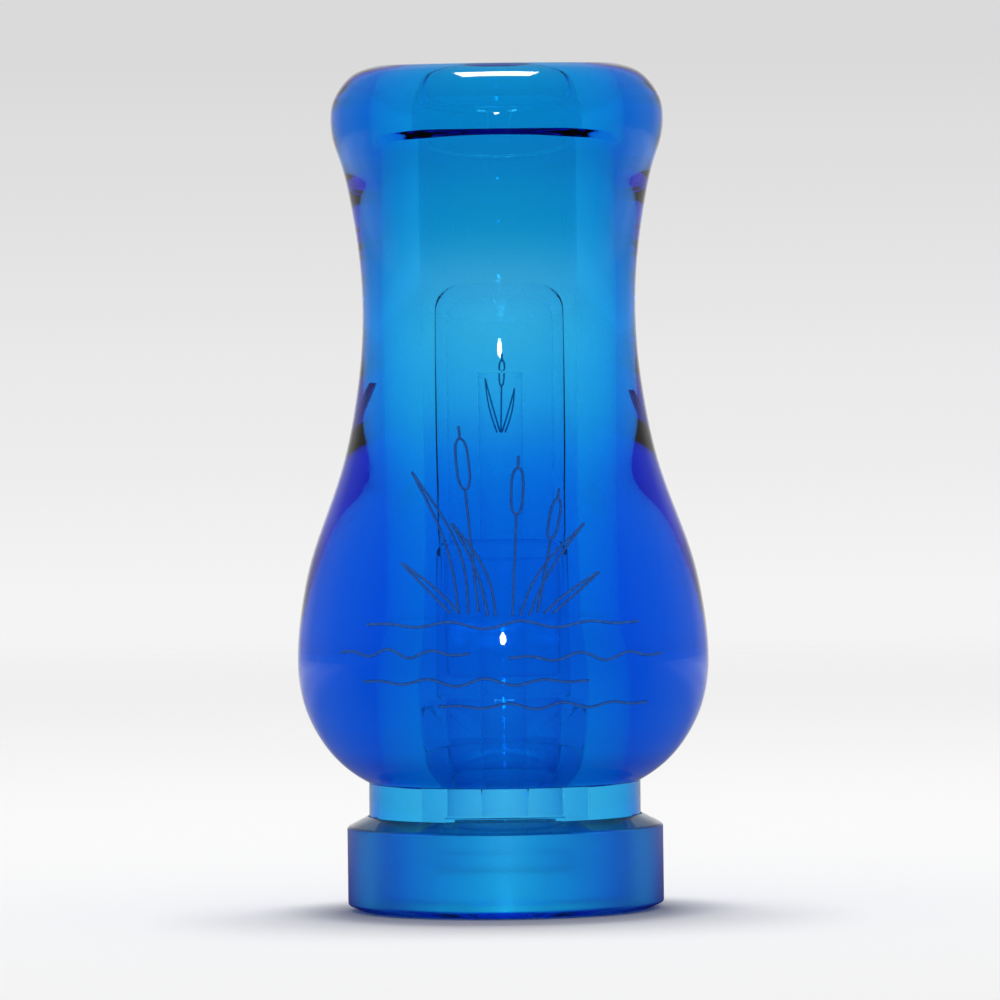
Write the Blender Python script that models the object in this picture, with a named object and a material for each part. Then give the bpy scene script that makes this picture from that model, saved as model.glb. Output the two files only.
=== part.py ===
"""Duck call: turned acrylic barrel with a press-on band, and the reed insert that plugs into its lower end.

The call stands upright on the foot of the insert. The origin is the centre of that foot, +Z runs up the bore
to the mouthpiece, and the reeds face -Y.
"""

import math

import bmesh
import bpy
import numpy as np
from mathutils import Matrix, Vector

MM = 0.001
ROUND_SEGMENTS = 60
SMALL_SEGMENTS = 40

# Barrel, in millimetres
BARREL_TOP = 78.35
BARREL_FOOT = 0.15
FOOT_RECESS_R = 11.2
FOOT_RECESS_TOP = 1.5
MOUTH_EDGE_R = 9.2
BORE_R = 7.31
SEAT_R = 7.94
SEAT_TOP = 21.4
MOUTH_STEP = 72.3
STEP_RISE = 0.5
GROOVE_R = 12.59
# Turning stations down the outside, each a radius and a height: lip, waist, bulb and turn in to the groove
BARREL_STATIONS = (
    (11.2, 78.35),
    (13.05, 77.7),
    (14.45, 76.35),
    (15.25, 74.75),
    (15.41, 73.2),
    (15.2, 71.5),
    (14.5, 69.3),
    (13.6, 65.4),
    (12.92, 60.8),
    (12.65, 55.7),
    (12.86, 51.2),
    (13.52, 46.4),
    (14.6, 41.5),
    (16.3, 36.6),
    (17.75, 32.4),
    (18.68, 27.8),
    (19.05, 23.0),
    (18.6, 19.6),
    (17.3, 16.5),
    (15.3, 13.9),
    (13.6, 12.55),
    (GROOVE_R, 11.95),
)

# Band on the barrel's lower end
BAND_R = 14.65
BAND_BORE_R = 12.7
BAND_TOP = 8.85
BAND_SHOULDER_DROP = 0.85
BAND_CORNER_R = 0.4
BAND_CHAMFER_WIDTH = 1.1
BAND_CHAMFER_TOP = 0.65

# Insert stopper
FOOT_R = 11.0
FOOT_THICKNESS = 1.25
FOOT_CHAMFER = 0.3
STEM_R = 7.7
STEM_TOP = 20.9
EXHAUST_R = 4.5
EXHAUST_FLARE = 1.1
SPIGOT_SEAT_R = 5.4
SPIGOT_SEAT_FLOOR = 9.0

# O-rings and their grooves
RING_SECTION_R = 0.85
RING_CENTRE_R = 7.04
RING_GROOVE_R = 6.1
RING_GROOVE_HALF = 1.1
RING_HEIGHTS = {"o_ring_lower": 5.2, "o_ring_upper": 17.2}

# Tone board, a half round whose face carries the reeds
BOARD_R = 6.2
BOARD_FOOT = 21.2
BOARD_TIP = 58.0
BOARD_TIP_ROUND = 2.6
BOARD_FACE_Y = -0.5
FACE_CURVE_START = 33.0
FACE_CURVE_R = 260.0
SPIGOT_R = 5.3
SPIGOT_FOOT = 9.3
BLOCK_TOP = 31.5
NOTCH_HALF_WIDTH = 5.0
NOTCH_FLOOR = 22.0
NOTCH_ROOF_Y = -4.6
CHANNEL_R = 2.2
CHANNEL_Y = 1.8
CHANNEL_END = 49.0
TROUGH_FOOT = 27.0
JOIN_OVERLAP = 0.5

# Reeds and the wedge that clamps them
REED_HALF_WIDTH = 4.75
REED_THICKNESS = 0.35
REED_GAP = 0.3
REED_FOOT = 25.5
REED_TIP_ROUND = 2.4
REED_TIPS = {"lower_reed": 57.5, "upper_reed": 56.8}
REED_HINGE = 31.5
DIMPLE_R = 2.0
DIMPLE_DEPTH = 0.16
DIMPLE_HEIGHT = 53.4
WEDGE_HALF_WIDTH = 4.7
WEDGE_FOOT = 22.4
WEDGE_TOP = 32.6
WEDGE_TAPER = 0.25
WEDGE_CLEARANCE = 0.3


def clear_scene():
    for item in list(bpy.data.objects):
        bpy.data.objects.remove(item)


def material(name, colour, roughness, metallic=0.0):
    made = bpy.data.materials.new(name)
    made.use_nodes = True
    shader = made.node_tree.nodes["Principled BSDF"]
    shader.inputs["Base Color"].default_value = (*colour, 1.0)
    shader.inputs["Roughness"].default_value = roughness
    shader.inputs["Metallic"].default_value = metallic
    return made


def add_object(name, mesh, finish=None, sharp_angle=30.0):
    item = bpy.data.objects.new(name, mesh)
    bpy.context.scene.collection.objects.link(item)
    mesh.shade_smooth()
    mesh.set_sharp_from_angle(angle=math.radians(sharp_angle))
    if finish:
        mesh.materials.append(finish)
    return item


def mesh_from(shape, name):
    """Turns a bmesh in millimetres into a mesh in metres, with its faces pointing out."""
    bmesh.ops.recalc_face_normals(shape, faces=shape.faces)
    bmesh.ops.scale(shape, vec=(MM, MM, MM), verts=shape.verts)
    mesh = bpy.data.meshes.new(name)
    shape.to_mesh(mesh)
    shape.free()
    return mesh


def turned(name, outline, segments=ROUND_SEGMENTS):
    """Mesh of a closed outline of (radius, height) points turned about Z."""
    shape = bmesh.new()
    rings = []
    for radius, height in outline:
        ring = []
        for step in range(segments):
            angle = 2 * math.pi * step / segments
            ring.append(shape.verts.new((radius * math.cos(angle), radius * math.sin(angle), height)))
        rings.append(ring)
    for ring, following in zip(rings, rings[1:] + rings[:1]):
        for step in range(segments):
            after = (step + 1) % segments
            shape.faces.new((ring[step], following[step], following[after], ring[after]))
    return mesh_from(shape, name)


def spline(stations, samples_each):
    """Points along the natural cubic spline through the stations, spaced by chord length."""
    points = np.array(stations, float)
    chords = np.linalg.norm(np.diff(points, axis=0), axis=1)
    count = len(points)
    system = np.eye(count)
    target = np.zeros((count, 2))
    for i in range(1, count - 1):
        before, after = chords[i - 1], chords[i]
        system[i, i - 1 : i + 2] = before, 2 * (before + after), after
        slopes = (points[i + 1] - points[i]) / after - (points[i] - points[i - 1]) / before
        target[i] = 6 * slopes
    bends = np.linalg.solve(system, target)
    curve = []
    for i in range(count - 1):
        length = chords[i]
        for step in range(samples_each):
            t = step / samples_each * length
            left, right = length - t, t
            value = (bends[i] * left**3 + bends[i + 1] * right**3) / (6 * length)
            value += (points[i] / length - bends[i] * length / 6) * left
            value += (points[i + 1] / length - bends[i + 1] * length / 6) * right
            curve.append(tuple(value))
    curve.append(tuple(points[-1]))
    return curve


def arc_points(centre, radius, start_deg, end_deg, steps=4):
    """Points of an arc in the (radius, height) plane."""
    arc = []
    for step in range(steps + 1):
        angle = math.radians(start_deg + (end_deg - start_deg) * step / steps)
        arc.append((centre[0] + radius * math.cos(angle), centre[1] + radius * math.sin(angle)))
    return arc


def box(name, low, high):
    shape = bmesh.new()
    bmesh.ops.create_cube(shape, size=1.0)
    size = Vector(high) - Vector(low)
    bmesh.ops.scale(shape, vec=size, verts=shape.verts)
    bmesh.ops.translate(shape, vec=(Vector(low) + Vector(high)) / 2, verts=shape.verts)
    return mesh_from(shape, name)


def rod(name, radius, low, high, centre_y=0.0, segments=SMALL_SEGMENTS):
    """A plain cylinder along Z."""
    shape = bmesh.new()
    bmesh.ops.create_cone(
        shape, cap_ends=True, segments=segments, radius1=radius, radius2=radius, depth=high - low
    )
    bmesh.ops.translate(shape, vec=(0.0, centre_y, (low + high) / 2), verts=shape.verts)
    return mesh_from(shape, name)


def hidden(name, mesh):
    """A helper for a Boolean, left out of the finished call."""
    helper = add_object(name, mesh)
    helper.hide_render = True
    helper.display_type = "WIRE"
    return helper


def boolean(item, helper, operation):
    modifier = item.modifiers.new(helper.name, "BOOLEAN")
    modifier.operation = operation
    modifier.solver = "EXACT"
    modifier.object = helper


def make_barrel(finish):
    outside = spline(BARREL_STATIONS, 2)
    tenon = [(GROOVE_R, BARREL_FOOT), (FOOT_RECESS_R, BARREL_FOOT), (FOOT_RECESS_R, FOOT_RECESS_TOP)]
    seat = [
        (SEAT_R, FOOT_RECESS_TOP),
        (SEAT_R, SEAT_TOP),
        (BORE_R, SEAT_TOP + STEP_RISE),
        (BORE_R, MOUTH_STEP),
        (SEAT_R, MOUTH_STEP + STEP_RISE),
    ]
    edge = MOUTH_EDGE_R - SEAT_R
    mouth = arc_points((MOUTH_EDGE_R, BARREL_TOP - edge), edge, 180, 90)
    add_object("barrel", turned("barrel", outside + tenon + seat + mouth), finish)


def make_end_band(finish):
    slope = math.degrees(math.atan2(BAND_SHOULDER_DROP, BAND_R - BAND_BORE_R))
    corner = (BAND_R - BAND_CORNER_R, BAND_TOP - BAND_SHOULDER_DROP - BAND_CORNER_R)
    shoulder = [(BAND_BORE_R, BAND_TOP)] + arc_points(corner, BAND_CORNER_R, 90 - slope, 0)
    foot = [
        (BAND_R, BAND_CHAMFER_TOP),
        (BAND_R - BAND_CHAMFER_WIDTH, BARREL_FOOT),
        (BAND_BORE_R, BARREL_FOOT),
    ]
    add_object("end_band", turned("end_band", shoulder + foot), finish)


def ring_groove(height):
    low, high = height - RING_GROOVE_HALF, height + RING_GROOVE_HALF
    return [(STEM_R, high), (RING_GROOVE_R, high), (RING_GROOVE_R, low), (STEM_R, low)]


def make_insert_stopper(finish):
    stem = [(SPIGOT_SEAT_R, STEM_TOP), (STEM_R - 0.4, STEM_TOP), (STEM_R, STEM_TOP - 0.4)]
    for height in sorted(RING_HEIGHTS.values(), reverse=True):
        stem += ring_groove(height)
    foot = [
        (STEM_R, FOOT_THICKNESS),
        (FOOT_R, FOOT_THICKNESS),
        (FOOT_R, FOOT_CHAMFER),
        (FOOT_R - FOOT_CHAMFER, 0.0),
    ]
    exhaust = [
        (EXHAUST_R + EXHAUST_FLARE, 0.0),
        (EXHAUST_R + EXHAUST_FLARE * 0.35, EXHAUST_FLARE * 0.5),
        (EXHAUST_R, EXHAUST_FLARE * 1.4),
        (EXHAUST_R, SPIGOT_SEAT_FLOOR),
        (SPIGOT_SEAT_R, SPIGOT_SEAT_FLOOR),
    ]
    add_object("insert_stopper", turned("insert_stopper", stem + foot + exhaust), finish)


def make_o_ring(name, height, finish):
    section = arc_points((RING_CENTRE_R, height), RING_SECTION_R, 90, -270, steps=10)[:-1]
    add_object(name, turned(name, section, SMALL_SEGMENTS), finish)


def face_y(height):
    """The tone board's face falls away from the reeds towards the tip, on a large radius."""
    run = max(0.0, height - FACE_CURVE_START)
    return BOARD_FACE_Y + run * run / (2 * FACE_CURVE_R)


def board_half_width(height):
    run = max(0.0, height - (BOARD_TIP - BOARD_TIP_ROUND))
    return BOARD_R - BOARD_TIP_ROUND + math.sqrt(max(0.0, BOARD_TIP_ROUND**2 - run * run))


def board_section(height, steps=16):
    """Half-round section of the tone board, flat on the reeds' side and clipped to the rounded tip."""
    floor = face_y(height)
    limit = board_half_width(height)
    start = math.asin(floor / BOARD_R)
    section = []
    for step in range(steps + 1):
        angle = start + (math.pi - 2 * start) * step / steps
        across = max(-limit, min(limit, BOARD_R * math.cos(angle)))
        section.append((across, BOARD_R * math.sin(angle), height))
    return section


def lofted(name, sections):
    """Closed mesh through equal sections, capped at both ends."""
    shape = bmesh.new()
    rings = [[shape.verts.new(point) for point in section] for section in sections]
    for ring, following in zip(rings, rings[1:]):
        for i in range(len(ring)):
            after = (i + 1) % len(ring)
            shape.faces.new((ring[i], ring[after], following[after], following[i]))
    shape.faces.new(rings[0])
    shape.faces.new(rings[-1])
    return mesh_from(shape, name)


def make_tone_board(finish):
    heights = [BLOCK_TOP - JOIN_OVERLAP, FACE_CURVE_START]
    heights += list(np.linspace(FACE_CURVE_START, BOARD_TIP - BOARD_TIP_ROUND, 7)[1:])
    for angle in (22, 42, 58, 72):
        heights.append(BOARD_TIP - BOARD_TIP_ROUND + BOARD_TIP_ROUND * math.sin(math.radians(angle)))
    heights.append(BOARD_TIP)
    board = add_object("tone_board", lofted("tone_board", [board_section(h) for h in heights]), finish)
    boolean(board, hidden("clamp_block", rod("clamp_block", BOARD_R, BOARD_FOOT, BLOCK_TOP)), "UNION")
    boolean(board, hidden("spigot", rod("spigot", SPIGOT_R, SPIGOT_FOOT, BOARD_FOOT + JOIN_OVERLAP)), "UNION")
    notch_low = (-NOTCH_HALF_WIDTH, NOTCH_ROOF_Y, NOTCH_FLOOR)
    notch_high = (NOTCH_HALF_WIDTH, BOARD_FACE_Y, BLOCK_TOP + 5.0)
    boolean(board, hidden("notch", box("notch", notch_low, notch_high)), "DIFFERENCE")
    bore = rod("air_bore", CHANNEL_R, SPIGOT_FOOT - 1.0, CHANNEL_END, CHANNEL_Y, 20)
    boolean(board, hidden("air_bore", bore), "DIFFERENCE")
    half = CHANNEL_R * 0.98
    trough_low = (-half, BOARD_FACE_Y - 1.0, TROUGH_FOOT)
    trough_high = (half, CHANNEL_Y, CHANNEL_END - 0.5)
    boolean(board, hidden("trough", box("trough", trough_low, trough_high)), "DIFFERENCE")


def reed_outline(tip):
    """Reed outline from above, as (across, height) points, square at the foot and rounded at the tip."""
    inner = REED_HALF_WIDTH - REED_TIP_ROUND
    outline = [(-REED_HALF_WIDTH, REED_FOOT), (REED_HALF_WIDTH, REED_FOOT)]
    outline += arc_points((inner, tip - REED_TIP_ROUND), REED_TIP_ROUND, 0, 90, steps=5)
    outline += arc_points((-inner, tip - REED_TIP_ROUND), REED_TIP_ROUND, 90, 180, steps=5)
    return outline


def make_reed(name, back_y, finish, dimpled):
    """A thin flat strip. The dimple of the upper reed is pressed towards the lower one."""
    outline = reed_outline(REED_TIPS[name])
    shape = bmesh.new()
    sides = []
    for across_y in (back_y, back_y - REED_THICKNESS):
        rim = [shape.verts.new((x, across_y, z)) for x, z in outline]
        edges = [shape.edges.new((a, b)) for a, b in zip(rim, rim[1:] + rim[:1])]
        if dimpled:
            rings = dimple_rings(shape, across_y)
            edges += [shape.edges.get((a, b)) for a, b in zip(rings[0], rings[0][1:] + rings[0][:1])]
        bmesh.ops.triangle_fill(shape, edges=edges, use_beauty=True)
        sides.append(rim)
    for i in range(len(outline)):
        after = (i + 1) % len(outline)
        shape.faces.new((sides[0][i], sides[0][after], sides[1][after], sides[1][i]))
    add_object(name, mesh_from(shape, name), finish)


def dimple_rings(shape, across_y, count=20):
    """Rings of a shallow round dimple, closed by a fan at its lowest point."""
    rings = []
    for share in (1.0, 0.66, 0.33):
        sink = DIMPLE_DEPTH * (1 + math.cos(math.pi * share)) / 2
        ring = []
        for step in range(count):
            angle = 2 * math.pi * step / count
            across = DIMPLE_R * share * math.cos(angle)
            height = DIMPLE_HEIGHT + DIMPLE_R * share * math.sin(angle)
            ring.append(shape.verts.new((across, across_y + sink, height)))
        rings.append(ring)
    for ring, inner in zip(rings, rings[1:]):
        for step in range(count):
            after = (step + 1) % count
            shape.faces.new((ring[step], ring[after], inner[after], inner[step]))
    lowest = shape.verts.new((0.0, across_y + DIMPLE_DEPTH, DIMPLE_HEIGHT))
    for step in range(count):
        shape.faces.new((rings[-1][step], rings[-1][(step + 1) % count], lowest))
    return rings


def make_reeds(finish):
    lower_back = BOARD_FACE_Y - REED_GAP
    upper_back = lower_back - REED_THICKNESS - REED_GAP
    make_reed("lower_reed", lower_back, finish, dimpled=False)
    make_reed("upper_reed", upper_back, finish, dimpled=True)
    for name, back_y in (("lower_reed", lower_back), ("upper_reed", upper_back)):
        move_origin(bpy.data.objects[name], (0.0, back_y - REED_THICKNESS / 2, REED_HINGE))


def move_origin(item, point):
    """Puts the object's origin at a point given in millimetres, without moving its mesh."""
    offset = Vector(point) * MM
    item.data.transform(Matrix.Translation(-offset))
    item.location = offset


def make_wedge_block(finish):
    """A slightly tapered block, thicker at the outer end, with eased edges."""
    floor_y = BOARD_FACE_Y - 2 * (REED_GAP + REED_THICKNESS) - REED_GAP
    roof_y = NOTCH_ROOF_Y + WEDGE_CLEARANCE
    mesh = box(
        "wedge_block", (-WEDGE_HALF_WIDTH, roof_y, WEDGE_FOOT), (WEDGE_HALF_WIDTH, floor_y, WEDGE_TOP)
    )
    for vertex in mesh.vertices:
        if vertex.co.z < (WEDGE_FOOT + 1.0) * MM and vertex.co.y < (roof_y + floor_y) / 2 * MM:
            vertex.co.y += WEDGE_TAPER * MM
    wedge = add_object("wedge_block", mesh, finish)
    bevel = wedge.modifiers.new("eased_edges", "BEVEL")
    bevel.width = 0.3 * MM
    bevel.segments = 2


def main():
    clear_scene()
    acrylic = material("blue_acrylic", (0.01, 0.30, 0.78), 0.05)
    satin = material("satin_blue_acrylic", (0.02, 0.28, 0.72), 0.4)
    stopper = material("stopper_acrylic", (0.55, 0.78, 0.92), 0.08)
    clear = material("clear_acrylic", (0.55, 0.78, 0.92), 0.1)
    film = material("reed_film", (0.75, 0.85, 0.9), 0.25)
    silicone = material("clear_silicone", (0.35, 0.6, 0.85), 0.45)
    rubber = material("wedge_rubber", (0.12, 0.3, 0.6), 0.6)
    make_barrel(acrylic)
    make_end_band(satin)
    make_insert_stopper(stopper)
    for name, height in RING_HEIGHTS.items():
        make_o_ring(name, height, silicone)
    make_tone_board(clear)
    make_reeds(film)
    make_wedge_block(rubber)


main()
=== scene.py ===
"""Looks of the acrylic duck call: turned shells, reed insert, engraving, finishes and studio."""

import math

import bmesh
import bpy
import numpy as np
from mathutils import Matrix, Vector


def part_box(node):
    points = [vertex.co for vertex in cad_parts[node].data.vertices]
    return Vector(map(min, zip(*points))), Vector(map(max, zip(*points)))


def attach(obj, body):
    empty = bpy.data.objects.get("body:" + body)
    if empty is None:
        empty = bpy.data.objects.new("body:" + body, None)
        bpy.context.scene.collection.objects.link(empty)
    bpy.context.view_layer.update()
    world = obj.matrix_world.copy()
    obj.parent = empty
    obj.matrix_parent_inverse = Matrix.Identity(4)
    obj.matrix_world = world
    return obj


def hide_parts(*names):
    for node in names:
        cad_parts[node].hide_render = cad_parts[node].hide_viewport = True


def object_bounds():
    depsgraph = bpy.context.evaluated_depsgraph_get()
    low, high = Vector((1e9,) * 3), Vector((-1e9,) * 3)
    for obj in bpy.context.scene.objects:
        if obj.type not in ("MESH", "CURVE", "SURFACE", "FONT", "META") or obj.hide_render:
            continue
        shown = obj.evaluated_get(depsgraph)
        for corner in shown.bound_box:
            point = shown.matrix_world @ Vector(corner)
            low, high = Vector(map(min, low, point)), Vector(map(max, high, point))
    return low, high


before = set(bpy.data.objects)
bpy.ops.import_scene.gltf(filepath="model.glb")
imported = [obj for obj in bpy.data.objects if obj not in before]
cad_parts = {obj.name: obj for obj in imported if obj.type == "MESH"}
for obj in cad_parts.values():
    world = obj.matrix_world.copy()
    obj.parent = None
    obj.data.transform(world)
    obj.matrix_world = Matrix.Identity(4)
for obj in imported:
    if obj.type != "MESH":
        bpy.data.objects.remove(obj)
cad_low, cad_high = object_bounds()

MM = 0.001
TURNING_STEPS = 240
RING_STEPS = 144
TURNING_RADIUS = 10.0

# Barrel, in millimetres
GROOVE_R = 12.59
BORE_R = 7.31
SEAT_R = 7.94
SEAT_TOP = 21.4
MOUTH_STEP = 72.3
SEAT_BLEND = 6.0
MOUTH_BLEND = 0.45
MOUTH_EDGE_R = 9.2
FOOT_RECESS_R = 11.2
FOOT_RECESS_TOP = 1.5
# Turning stations down the outside, each a radius and a height: lip, waist, bulb and turn in to the groove
BARREL_STATIONS = (
    (11.2, 78.35),
    (13.05, 77.7),
    (14.45, 76.35),
    (15.25, 74.75),
    (15.41, 73.2),
    (15.2, 71.5),
    (14.5, 69.3),
    (13.6, 65.4),
    (12.92, 60.8),
    (12.65, 55.7),
    (12.86, 51.2),
    (13.52, 46.4),
    (14.6, 41.5),
    (16.3, 36.6),
    (17.75, 32.4),
    (18.68, 27.8),
    (19.05, 23.0),
    (18.6, 19.6),
    (17.3, 16.5),
    (15.3, 13.9),
    (13.6, 12.55),
    (GROOVE_R, 11.95),
)

# Band on the barrel's lower end
BAND_R = 14.65
BAND_BORE_R = 12.7
BAND_TOP = 8.85
BAND_SHOULDER_DROP = 0.85
BAND_CORNER_R = 0.4
BAND_CHAMFER_WIDTH = 1.1
BAND_CHAMFER_TOP = 0.65

# Insert stopper and its O-rings
FOOT_R = 11.0
FOOT_THICKNESS = 1.25
FOOT_CHAMFER = 0.3
STEM_R = 7.7
STEM_TOP = 20.9
EXHAUST_R = 4.5
EXHAUST_FLARE = 1.1
SPIGOT_SEAT_R = 5.4
SPIGOT_SEAT_FLOOR = 9.0
RING_SECTION_R = 0.85
RING_CENTRE_R = 7.04
RING_GROOVE_R = 6.1
RING_GROOVE_HALF = 1.1
RING_HEIGHTS = {"o_ring_lower": 5.2, "o_ring_upper": 17.2}

# Tone board
BOARD_R = 6.2
BOARD_FOOT = 21.2
BOARD_TIP = 58.0
BOARD_TIP_ROUND = 2.6
BOARD_FACE_Y = -0.5
FACE_CURVE_START = 33.0
FACE_CURVE_R = 260.0
SPIGOT_R = 5.3
SPIGOT_FOOT = 9.3
BLOCK_TOP = 31.5
NOTCH_HALF_WIDTH = 5.0
NOTCH_FLOOR = 22.0
NOTCH_ROOF_Y = -4.6
CHANNEL_R = 2.2
CHANNEL_Y = 1.8
CHANNEL_END = 49.0
TROUGH_FOOT = 27.0
TROUGH_SHARE = 0.88
BLOCK_RELIEF = 0.15
JOIN_OVERLAP = 0.5

# Reeds and the wedge that clamps them
REED_HALF_WIDTH = 4.75
REED_THICKNESS = 0.35
REED_GAP = 0.3
REED_FOOT = 25.5
REED_TIP_ROUND = 2.4
REED_TIPS = {"lower_reed": 57.5, "upper_reed": 56.8}
DIMPLE_R = 2.0
DIMPLE_DEPTH = 0.16
DIMPLE_HEIGHT = 53.4
WEDGE_EDGE = 0.45
WEDGE_TAPER = 0.25

# Engraved marsh plants and ripples, in millimetres across the front and up the barrel
ENGRAVING_LINE_R = 0.13
ENGRAVING_DEPTH = 0.05

# Blue plastic: what it absorbs, and a fitted surface tint for each height in millimetres, which paints light
# and shade onto the barrel and band
BLUE_TINT = (0.0, 0.79, 0.977)
BLUE_DENSITY = 300.0
BAND_TINT = (0.3, 0.9, 1.0)
# Painted shade: the colour the band darkens to at its grazing edges
BAND_PAINTED_EDGE_SHADE = (0.0, 0.0, 0.7, 1.0)
# Barrel: painted light and shade, darkest at the groove (12.3 to 13.6 mm) and palest from 47 to 58 mm
BARREL_PAINTED_LIGHT_AND_SHADE = (
    (0.0, (1.0, 1.0, 1.0)),
    (11.9, (1.0, 1.0, 1.0)),
    (12.3, (0.3, 0.30, 0.60)),
    (13.6, (0.3, 0.35, 0.62)),
    (15.6, (0.5, 0.70, 0.88)),
    (18.0, (0.6, 0.80, 0.95)),
    (24.0, (0.5, 0.71, 0.94)),
    (38.0, (0.5, 0.73, 0.95)),
    (42.0, (0.7, 0.80, 0.95)),
    (47.0, (0.9, 0.95, 0.97)),
    (53.0, (1.0, 1.0, 0.97)),
    (58.0, (1.0, 0.90, 0.90)),
    (65.0, (0.4, 0.82, 0.85)),
    (78.35, (0.3, 0.79, 0.84)),
)
# Band: painted shade on the bottom chamfer, darker below 0.7 mm, and painted light on the top bevel, paler
# from 8.1 mm
BAND_PAINTED_LIGHT_AND_SHADE = (
    (0.0, (0.02, 0.25, 0.60)),
    (0.7, (0.02, 0.28, 0.65)),
    (0.9, (0.12, 0.95, 1.0)),
    (7.9, (0.12, 0.95, 1.0)),
    (8.1, (0.50, 1.0, 1.0)),
    (9.0, (0.50, 1.0, 1.0)),
)

# Clear inner pieces bend light far less than real acrylic's 1.49, to keep the bore quiet behind the blue
INNER_IOR = 1.04
INNER_COAT = 0.25
# Inner pieces: a face colour, and painted shade towards their grazing edges in place of the darkening that
# refraction gives
INNER_FACE = (0.97, 0.99, 1.0, 1.0)
INNER_PAINTED_EDGE_SHADE = (0.48, 0.72, 0.90, 1.0)
INNER_SHADE = 0.2

# Surface marks: rings, grit and smears per metre, bump depth in metres, noise levels where scratches show
FINE_RINGS = 2600.0
BLUE_BUMP = 0.9e-6
SATIN_GRIT = 7000.0
SATIN_ROUGHNESS = 0.34
SMEARS = 220.0
SMEAR_SHARE = 0.14
SCRATCH_THRESHOLD = (0.70, 0.76)
SCRATCH_PATCHES = (0.52, 0.68)

# Studio, in metres and watts. A tone's place runs from 0, straight down or front, to 1, straight up or back
FLOOR_R = 0.7
FLOOR_FADE_FROM = 0.2
FLOOR_WHITE = (0.86, 0.86, 0.86)
MIRRORED_FLOOR_REACH = 0.3
OVERHEAD_AT = (0.0, 0.12, 0.8)
OVERHEAD_WIDTH = 0.34
OVERHEAD_DEPTH = 0.22
OVERHEAD_ENERGY = 4.6
FRONT_AT = (0.0, -0.9, 0.166)
FRONT_SIZE = 0.06
FRONT_ENERGY = 0.3
BACKDROP_TONES = (
    (0.0, 0.96),
    (0.4695, 0.95),
    (0.48, 0.90),
    (0.49, 0.83),
    (0.5005, 0.755),
    (0.508, 0.70),
    (0.56, 0.60),
    (1.0, 0.5),
)
SURROUND_TONES = ((0.0, 0.95), (0.47, 0.95), (0.5, 0.9), (0.57, 0.85), (0.75, 0.8), (1.0, 0.7))
DIFFUSE_TONES = ((0.0, 0.4),)
MIRRORED_TONES = ((0.0, 0.02), (0.35, 0.05), (0.6, 0.1), (0.85, 0.2), (0.96, 0.4), (1.0, 0.8))
# Painted shade on the floor as mirrored rays see it, dark at the front
MIRRORED_FLOOR_PAINTED_SHADE = ((0.0, 0.03), (0.45, 0.05), (0.55, 0.15), (0.7, 0.4), (1.0, 0.7))

# Camera, in metres and degrees
CAMERA_DISTANCE = 0.9
CAMERA_HEIGHT = 0.065
VIEW_WIDTH = 0.09272
AIM_HEIGHT = 0.0380
AIM_SIDE = -0.00012
CAMERA_ROLL = 0.7


# ---------------------------------------------------------------- outlines


def spline(stations, samples_each):
    """Points along the natural cubic spline through the stations, spaced by chord length."""
    points = np.array(stations, float)
    chords = np.linalg.norm(np.diff(points, axis=0), axis=1)
    count = len(points)
    system = np.eye(count)
    target = np.zeros((count, 2))
    for i in range(1, count - 1):
        before, after = chords[i - 1], chords[i]
        system[i, i - 1 : i + 2] = before, 2 * (before + after), after
        target[i] = 6 * ((points[i + 1] - points[i]) / after - (points[i] - points[i - 1]) / before)
    bends = np.linalg.solve(system, target)
    curve = []
    for i in range(count - 1):
        length = chords[i]
        for step in range(samples_each):
            right = step / samples_each * length
            left = length - right
            value = (bends[i] * left**3 + bends[i + 1] * right**3) / (6 * length)
            value += (points[i] / length - bends[i] * length / 6) * left
            value += (points[i + 1] / length - bends[i + 1] * length / 6) * right
            curve.append(tuple(value))
    curve.append(tuple(points[-1]))
    return curve


def arc_points(centre, radius, start_deg, end_deg, steps=8):
    arc = []
    for step in range(steps + 1):
        angle = math.radians(start_deg + (end_deg - start_deg) * step / steps)
        arc.append((centre[0] + radius * math.cos(angle), centre[1] + radius * math.sin(angle)))
    return arc


def plain(points):
    """Marks the points of a smooth stretch, which need no easing."""
    return [(point[0], point[1], 0.0) for point in points]


def eased(outline, radius, steps=4):
    """Rounds the corners of a closed outline. A point with a third value keeps its own radius."""
    made = []
    count = len(outline)
    for i, corner in enumerate(outline):
        here = Vector(corner[:2])
        ease = corner[2] if len(corner) > 2 else radius
        back = Vector(outline[i - 1][:2]) - here
        ahead = Vector(outline[(i + 1) % count][:2]) - here
        if not ease:
            made.append(tuple(here))
            continue
        ease = min(ease, back.length * 0.45, ahead.length * 0.45)
        start = here + back.normalized() * ease
        end = here + ahead.normalized() * ease
        for step in range(steps + 1):
            t = step / steps
            made.append(tuple(start * (1 - t) ** 2 + here * (2 * t * (1 - t)) + end * t**2))
    return made


def blend_to_bore(start_radius, start, end_radius, end, steps=16):
    """A polished blend between two bore sizes, tangent to both."""
    blend = []
    for step in range(steps + 1):
        t = step / steps
        share = t * t * (3 - 2 * t)
        blend.append((start_radius + (end_radius - start_radius) * share, start + (end - start) * t))
    return blend


def barrel_outline():
    outside = spline(BARREL_STATIONS, 9)
    top = cad_high.z / MM
    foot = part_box("barrel")[0].z / MM
    edge = MOUTH_EDGE_R - SEAT_R
    mouth = arc_points((MOUTH_EDGE_R, top - edge), edge, 180, 90, steps=12)
    outline = plain(outside[:-1])
    outline += [(*outside[-1], 0.12), (GROOVE_R, foot), (FOOT_RECESS_R, foot)]
    outline += [(FOOT_RECESS_R, FOOT_RECESS_TOP), (SEAT_R, FOOT_RECESS_TOP)]
    outline += plain(blend_to_bore(SEAT_R, SEAT_TOP, BORE_R, SEAT_TOP + SEAT_BLEND))
    outline += plain(blend_to_bore(BORE_R, MOUTH_STEP - 0.1, SEAT_R, MOUTH_STEP + MOUTH_BLEND))
    outline += plain(mouth)
    return eased(outline, 0.1)


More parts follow.
